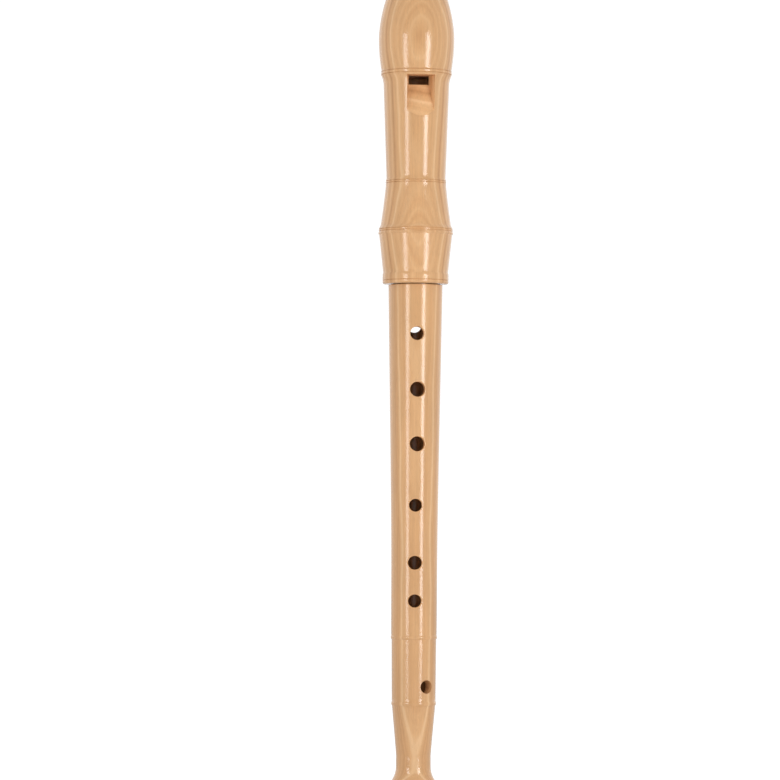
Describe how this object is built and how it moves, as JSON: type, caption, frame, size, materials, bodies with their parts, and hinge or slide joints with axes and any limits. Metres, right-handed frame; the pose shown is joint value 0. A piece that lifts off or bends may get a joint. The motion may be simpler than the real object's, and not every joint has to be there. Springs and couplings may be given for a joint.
{
  "type": "wooden descant recorder",
  "caption": "Pale wooden duct flute in two turned joints: beaked head with window and fipple block, body with finger holes, thumb hole and a belled foot.",
  "frame": {"origin": "centre of the foot's flat end face, on the axis of the bore", "axes": "+Z along the bore from the foot to the beak's tip; the window and finger holes face -Y, the thumb hole and the beak's hollow face +Y"},
  "size_m": [0.0296, 0.0296, 0.3255],
  "materials": {
    "varnished_wood": "clear gloss varnish over pale, straight-grained wood",
    "block_cedar": "bare red cedar, planed smooth",
    "cork": "sanded natural cork, lightly greased"
  },
  "bodies": {
    "body": {"body_joint": "varnished_wood"},
    "cork": {"tenon_cork": "cork"},
    "head": {"head_joint": "varnished_wood"},
    "fipple": {"block": "block_cedar"}
  },
  "joints": [
    {"name": "head_turn", "type": "hinge", "parent": "body", "child": "cork", "pos_m": [0, 0, 0.2028], "axis": [0, 0, 1], "continuous": true},
    {"name": "head_pull", "type": "slide", "parent": "cork", "child": "head", "axis": [0, 0, 1], "range_m": [0, 0.025]},
    {"name": "block_slide", "type": "slide", "parent": "head", "child": "fipple", "axis": [0, 0, 1], "range_m": [0, 0.042]}
  ]
}
